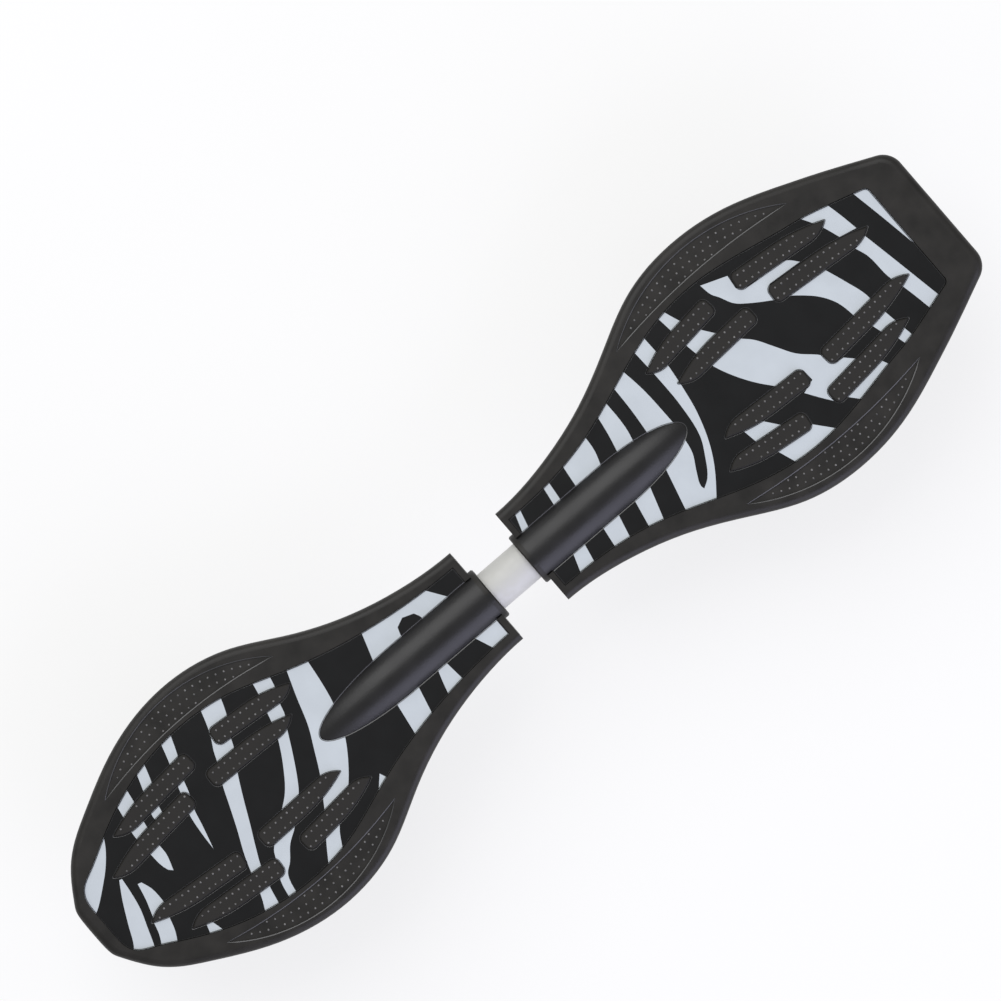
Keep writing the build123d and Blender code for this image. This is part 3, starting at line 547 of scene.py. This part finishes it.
# Printed stripes of the nose deck, as (from the nose's tip, from the centre line)
NOSE_STRIPES = (
    ((9, -16), (14, -29), (24, -38), (37, -45), (57, -54), (51, -44), (41, -32.5), (30, -23), (16, -12.5),
     (9, -9)),
    ((43, -18.5), (45.3, -18), (44, -7), (41, 9), (36, 23), (30, 39), (28, 43), (15, 31), (18, 28),
     (26, 12), (35, -5.5)),
    ((52, -7), (55, -6), (58, 3), (58.3, 21), (44, 21), (49, 6)),
    ((42, 24), (54.6, 26), (50.6, 39), (44, 51), (33, 45), (39.4, 33)),
    ((73, 49), (75.8, 49), (80, 66), (68, 64)),
    ((79.5, -66), (93.5, -71), (91, -56), (87, -40), (86, -34), (84.4, -20), (84, -10), (80, 3),
     (77, -0.5), (74.5, -20), (74.5, -40), (77, -51.6)),
    ((108, -75), (117.5, -78), (112, -61), (104, -43), (102, -33), (94.5, -32), (95.3, -41), (102, -58)),
    ((137.5, -81), (148, -82), (140.7, -63), (131.6, -45), (128.8, -36), (123, -22.4), (120, -10),
     (114.4, 10.6), (115.2, -4), (117.6, -22), (123, -38), (125, -44), (132, -63)),
    ((178, -81), (196.5, -79), (190, -62), (181, -46.5), (177.4, -38.4), (167, -22), (157.5, -4),
     (148, 15.4), (140, 31), (133, 46), (128, 63), (124.5, 80), (111, 78), (118.4, 62.8), (124, 45.4),
     (129, 31), (138.3, 10.6), (146.3, -8.5), (152, -22.4), (160.6, -39), (164, -47), (169, -56),
     (172.3, -63.6)),
    ((222, -73), (236, -70), (232, -53), (227.4, -43), (224, -32), (218.5, -23), (210, -7), (199, 12),
     (192.6, 21), (172.6, 39.3), (162, 46.5), (152.7, 57), (145.5, 63), (140.5, 81), (134, 81),
     (137.5, 64), (145.5, 49), (149.5, 41.7), (174, 22.5), (184.6, 13.8), (195.7, -0.6),
     (207.7, -21.3), (212.4, -34), (215.2, -44), (218.8, -56.7)),
    ((250, -64), (265.5, -60), (261.4, -29), (258, -13.4), (248.6, 10.6), (243, 20), (232, 34.5),
     (224, 43), (200, 61), (188, 80), (172, 81), (184.6, 63), (198, 45.7), (204.5, 36), (214, 21.7),
     (224, 2.6), (232, -13.4), (240, -37)),
    ((250, 50.4), (254, 60), (236, 65)),
    ((296, 14), (318, 14), (310.5, 45), (290.5, 49)),
    ((338.4, 14), (344.8, 14), (347.2, 40), (330, 41), (333.7, 28)),
    ((372.5, 14), (396.5, 14), (396.5, 34.5), (381.5, 36.5)),
    ((301.5, -14), (312, -46), (366, -39), (383, -14), (352, -14), (353.6, -20.2), (351, -26.5),
     (342, -29.8), (334.5, -26.5), (332.4, -20.2), (332, -14)),
)

# Printed stripes of the tail deck
TAIL_STRIPES = (
    ((462.2, -38), (467, -38), (460.6, -14), (454.2, -14)),
    ((491.3, -39), (497, -39), (494.2, -14), (487.5, -14)),
    ((513.6, -43), (541, -48), (539.6, -31), (534, -14), (510, -14)),
    ((559, -53), (570.3, -57), (569.6, -29.3), (566, -12), (551, -13), (555.6, -32.5)),
    ((582.5, -61), (595.5, -68), (599, -42), (600, -4), (579, -8), (581.6, -36)),
    ((476.7, 14), (487.5, 14), (482.6, 38), (468.4, 38)),
    ((506.3, 14), (522.5, 14), (516, 41), (502.8, 39)),
    ((539, 14), (556, 12), (544.5, 48), (532.6, 45)),
    ((573.5, 11), (599, 3), (596, 20), (589, 33), (584.3, 44), (585, 47), (592, 42.5), (602, 28),
     (609, 14), (613, -13.4), (613.5, -36), (612.4, -73), (625.3, -77), (625.7, -59), (626, -46.5),
     (625, -36), (623.3, -23), (619.4, -2), (611.4, 21.7), (602, 39.3), (584, 63), (562, 55),
     (568.3, 31)),
    ((643, -81), (649, -81), (654.4, -66), (662, -50), (668.7, -40.4), (681, -24), (689.5, -15),
     (697.4, -2), (707, 13.8), (722, 29), (727, 40), (733, 40.4), (741, 48.6), (710, 50.5),
     (706, 54.5), (705.4, 61), (699, 52), (692, 41.4), (703.5, 37.7), (703, 28), (699, 24.5),
     (679, 23.4), (668.7, 10.6), (659, -5), (651.5, -22), (648, -38), (646.4, -48.7), (645, -63.6)),
    ((637, 33), (651, 34), (665, 52), (640, 51)),
    ((646, 60), (667, 64), (681, 64), (697, 83), (654, 82)),
    ((685, -74.3), (706, -66.3), (704.6, -55), (710, -50.5), (742, -48.7), (750, -44.4), (755.7, -38),
     (727, -40.4), (722, -35.7), (723, -27.4), (705.4, -39), (696, -47), (690.3, -58), (687, -63.6)),
    ((727.5, -27), (764, -27), (772.4, -3.7), (778.2, 15.4), (778.3, 25), (761, 25), (757.3, 5.8),
     (750, -7), (739, -18)),
    ((765, 33), (780, 31), (783, 50), (770, 50)),
    ((774.5, 55), (783.5, 52), (786, 68), (778.5, 70)),
    ((714, 64), (752, 58), (760, 74), (728, 80)),
    ((774, -69), (799, -64), (803.5, -43.6), (806, -29.3), (791.6, -32.5), (786.5, -46.8), (782, -55.6)),
    ((795, -17.8), (807, -20.5), (811.5, 2.6), (821.5, 56), (810, 60), (804.3, 30.5), (800.3, 15.4),
     (798.7, -7)),
    ((820.5, -56), (833, -54), (837, -35), (837, 5), (832, 8), (826.7, -23)),
)

# Outer arc of each deck's dotted side zone, as one end, the middle and the other end
NOSE_ZONE = ((76, 73), (160, 102.5), (246, 73))
TAIL_ZONE = ((603, 78), (688, 105), (777, 79))


def paint_everything():
    """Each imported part's finish."""
    moulding = plain("black_moulding", BLACK_MOULDING, roughness=0.46, spread=0.4, specular=0.33)
    panel = plain("black_panel", BLACK_PANEL, roughness=0.3, spread=0.06, depth=0.000006, specular=0.25)
    pad = plain("black_pad", BLACK_PAD, roughness=0.6, depth=0.00003, specular=0.3)
    satin = plain("black_satin", BLACK_SATIN, roughness=0.36, spread=0.2, grain=0.0014, depth=0.00008,
                  specular=0.42)
    screw = plain("bright_screw", STEEL, roughness=0.25, metal=1.0, spread=0.08, cloud=0.003,
                  depth=0.000008)
    tube = plain("drawn_tube", ALUMINIUM, roughness=0.8, metal=1.0, spread=0.05, cloud=0.004,
                 depth=0.000008)
    chrome = plain("fork_chrome", CHROME, roughness=0.1, metal=1.0, spread=0.04, cloud=0.01,
                   depth=0.0000003)
    flank = plain("fork_black", BLACK_PANEL, roughness=0.15, spread=0.1, depth=0.000004)
    spring = plain("spring_steel", STEEL, roughness=0.4, metal=1.0, spread=0.1, cloud=0.01,
                   depth=0.00001)
    hub = plain("grey_hub", HUB_GREY, roughness=0.5)
    wheel = urethane("ivory_urethane")
    for side in ("nose", "tail"):
        wedge_low, wedge_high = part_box(f"{side}_king_bolt")
        wedge = tuple((a + b) / 2 for a, b in zip(wedge_low, wedge_high))
        cover = pebbled(f"{side}_pebbled", BLACK_MOULDING, wedge, PEBBLE_REACH)
        low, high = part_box(f"{side}_tyre")
        shields = bearing(f"{side}_shields", Vector(((low[0] + high[0]) / 2, 0, (low[2] + high[2]) / 2)))
        finishes = {
            moulding: ("deck", "skid_pads", "collar", "inner_bush"),
            panel: ("foot_panel",),
            pad: ("grip_pads",),
            satin: ("fairing",),
            cover: ("bottom_cover",),
            screw: ("cover_screws", "skid_screws", "spine_bolt", "king_bolt", "king_washers",
                    "king_nut", "axle_bolt", "axle_nut", "axle_washers", "fork_bearings"),
            tube: ("rod_anchor", "bearing_spacer"),
            chrome: ("fork",),
            hub: ("wheel_core",),
            wheel: ("tyre",),
            shields: ("wheel_bearings",),
        }
        for material, names in finishes.items():
            for name in names:
                paint(f"{side}_{name}", material)
        blacken_flanks(nodes[f"{side}_fork"], flank)
        for name in ("fork", "king_nut", "axle_nut"):
            round_edges(nodes[f"{side}_{name}"])
    paint("torsion_tube", tube)
    twisting_rod(spring)


def blacken_flanks(fork, material):
    """The two flat outer sides of a fork are black; its edges and the rest stay chrome."""
    fork.data.materials.append(material)
    outside = max(v.co.y for v in fork.data.vertices)
    for face in fork.data.polygons:
        if abs(face.normal.y) > FACING_SIDE and abs(face.center.y) > outside - FLANK_DEPTH:
            face.material_index = 1


def collar_notch(side, outward, material):
    """Dark strip across the crown of a collar, beside the fairing's end: painted shade in place of a
    slot.
    """
    low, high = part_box(f"{side}_collar")
    radius = (high[1] - low[1]) / 2
    centre = high[2] - radius
    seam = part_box(f"{side}_fairing")[0 if outward > 0 else 1][0]
    places, faces = [], []
    for i in range(NOTCH_STEPS + 1):
        angle = (NOTCH_OFFSET + NOTCH_LENGTH * (i / NOTCH_STEPS - 0.5)) / radius
        for reach in (radius + NOTCH_RISE, radius - NOTCH_RISE):
            for x in (seam - outward * NOTCH_WIDTH, seam):
                places.append((x, reach * sin(angle), centre + reach * cos(angle)))
    for i in range(NOTCH_STEPS):
        near, far = 4 * i, 4 * (i + 1)
        faces += [(near + a, near + b, far + b, far + a) for a, b in ((0, 1), (1, 3), (3, 2), (2, 0))]
    faces += [(0, 2, 3, 1), tuple(4 * NOTCH_STEPS + k for k in (0, 1, 3, 2))]
    mesh = bpy.data.meshes.new(f"{side}_collar_notch")
    mesh.from_pydata(places, [], faces)
    mesh.materials.append(material)
    piece = add_object(f"{side}_collar_notch", mesh)
    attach(piece, f"{side}_deck_body")


def round_edges(node):
    """Small bevels along the sharp edges of a metal part, in its own bright finish."""
    node.modifiers.new("join", "WELD").merge_threshold = MERGE
    bevel = node.modifiers.new("round", "BEVEL")
    bevel.width = EDGE_ROUND
    bevel.segments = 2
    bevel.limit_method = "ANGLE"
    bevel.angle_limit = EDGE_ANGLE
    bevel.material = 0
    node.modifiers.new("shade", "WEIGHTED_NORMAL").keep_sharp = True


def twisting_rod(material):
    """The spring rod cut into short lengths between its two anchors, in place of the imported rod."""
    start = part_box("tail_rod_anchor")[1][0]
    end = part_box("nose_rod_anchor")[0][0]
    shape = bmesh.new()
    shape.from_mesh(nodes["torsion_rod"].data)
    bmesh.ops.remove_doubles(shape, verts=shape.verts, dist=MERGE)
    for i in range(ROD_CUTS + 1):
        cut = (start + (end - start) * i / ROD_CUTS, 0, 0)
        whole = shape.verts[:] + shape.edges[:] + shape.faces[:]
        bmesh.ops.bisect_plane(shape, geom=whole, plane_co=cut, plane_no=(1, 0, 0))
    mesh = bpy.data.meshes.new("twisting_rod")
    shape.to_mesh(mesh)
    shape.free()
    mesh.materials.append(material)
    rod = add_object("twisting_rod", mesh)
    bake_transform(rod)
    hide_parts("torsion_rod")


def add_details():
    """Stripes, grip dots and plate edges in painted highlight grey, and the collars' notches as dark
    strips of painted shade.
    """
    ink = plain("stripe_ink", PRINT_GREY, roughness=0.35, spread=0.03, depth=0.000004)
    # Dots in light grey, some lighter than others: a painted highlight on each dot
    dots = plain("dot_rubber", DOT_HIGHLIGHT_GREY, roughness=0.3, spread=0.5, cloud=0.006, depth=0.00001)
    # The edge bands are lighter grey than the plates: a painted highlight along their edges
    edge = plain("plate_edge", EDGE_HIGHLIGHT_GREY, roughness=0.25, depth=0.000002, specular=0.6)
    # The collars' notches are thin dark strips of painted shade, not cut slots
    notch = plain("notch_painted_shade", NOTCH_SHADE_BLACK, roughness=0.3, depth=0.000005)
    collar_notch("nose", 1, notch)
    collar_notch("tail", -1, notch)
    for side, stripes, zone in (("nose", NOSE_STRIPES, NOSE_ZONE), ("tail", TAIL_STRIPES, TAIL_ZONE)):
        print_stripes(side, stripes, ink)
        dotted(f"{side}_pad_dots", pad_spots(nodes[f"{side}_grip_pads"]), side, dots)
        dotted(f"{side}_zone_dots", zone_spots(nodes[f"{side}_deck"], zone), side, dots)
        plate = top_loops(nodes[f"{side}_foot_panel"].data, panel_top)
        edge_band(f"{side}_plate_edge", plate, side, edge)
        rim = top_loops(nodes[f"{side}_deck"].data, rim_top)
        zones = [ring for ring in rim if min(abs(p.y) for p in ring) > ZONE_LEAST]
        edge_band(f"{side}_zone_edge", zones, side, edge)


def add_camera():
    """A nearly parallel view from far above the board; gives the picture's right and up."""
    right = Vector((-cos(CAMERA_TURN), sin(CAMERA_TURN), 0))
    up = Vector((-sin(CAMERA_TURN), -cos(CAMERA_TURN), 0))
    turn = Matrix((right, up, right.cross(up))).transposed().to_4x4()
    data = bpy.data.cameras.new("camera")
    data.sensor_width = SENSOR
    data.lens = SENSOR * CAMERA_HEIGHT / FRAME_WIDTH
    data.clip_end = CLIP_END
    camera = add_object("camera", data)
    camera.matrix_world = Matrix.Translation((*CAMERA_CENTRE, panel_top + CAMERA_HEIGHT)) @ turn
    bpy.context.scene.camera = camera
    return right, up


def add_lamp(name, place, size, power, colour):
    """A square soft lamp aimed at the middle of the board."""
    data = bpy.data.lights.new(name, "AREA")
    data.size = size
    data.energy = power
    data.color = colour
    lamp = add_object(name, data)
    lamp.location = place
    lamp.rotation_euler = (-Vector(place)).to_track_quat("-Z", "Y").to_euler()
    lamp.visible_camera = False


def white_floor():
    """Matt floor paint that the camera and reflections see nearer to white, shadows kept."""
    material = plain("floor_paint", FLOOR, roughness=0.9, spread=0.01, cloud=0.3, specular=0.0)
    tree = material.node_tree
    rays = tree.nodes.new("ShaderNodeLightPath")
    seen = rays.outputs["Is Camera Ray"]
    for kind in ("Is Glossy Ray", "Is Transmission Ray"):
        either = tree.nodes.new("ShaderNodeMath")
        either.operation = "MAXIMUM"
        tree.links.new(seen, either.inputs[0])
        tree.links.new(rays.outputs[kind], either.inputs[1])
        seen = either.outputs["Value"]
    white = tree.nodes.new("ShaderNodeEmission")
    white.inputs["Strength"].default_value = 1.0
    blend = tree.nodes.new("ShaderNodeMixShader")
    tree.links.new(remap(tree, seen, 0, FLOOR_WHITENESS, 0, 1), blend.inputs["Fac"])
    output = tree.nodes["Material Output"]
    tree.links.new(tree.nodes["Principled BSDF"].outputs["BSDF"], blend.inputs[1])
    tree.links.new(white.outputs["Emission"], blend.inputs[2])
    tree.links.new(blend.outputs["Shader"], output.inputs["Surface"])
    return material


def add_stage(right, up):
    """Pale floor, even surrounding light and two soft lamps, placed by the picture's axes."""
    bpy.ops.mesh.primitive_plane_add(size=FLOOR_SIZE)
    floor = bpy.context.object
    floor.name = "floor"
    floor.data.materials.append(white_floor())
    world = bpy.data.worlds.new("studio")
    world.use_nodes = True
    light = world.node_tree.nodes["Background"]
    light.inputs["Color"].default_value = (*WHITE, 1)
    light.inputs["Strength"].default_value = WORLD_LEVEL
    bpy.context.scene.world = world
    lamps = (("key", KEY_PLACE, KEY_SIZE, KEY_POWER, WHITE),
             ("side", SIDE_PLACE, SIDE_SIZE, SIDE_POWER, SIDE_COLOUR))
    for name, place, size, power, colour in lamps:
        spot = right * place[0] + up * place[1] + Vector((0, 0, place[2]))
        add_lamp(name, spot, size, power, colour)
    bpy.context.scene.view_settings.view_transform = "Standard"


paint_everything()
add_details()
add_stage(*add_camera())
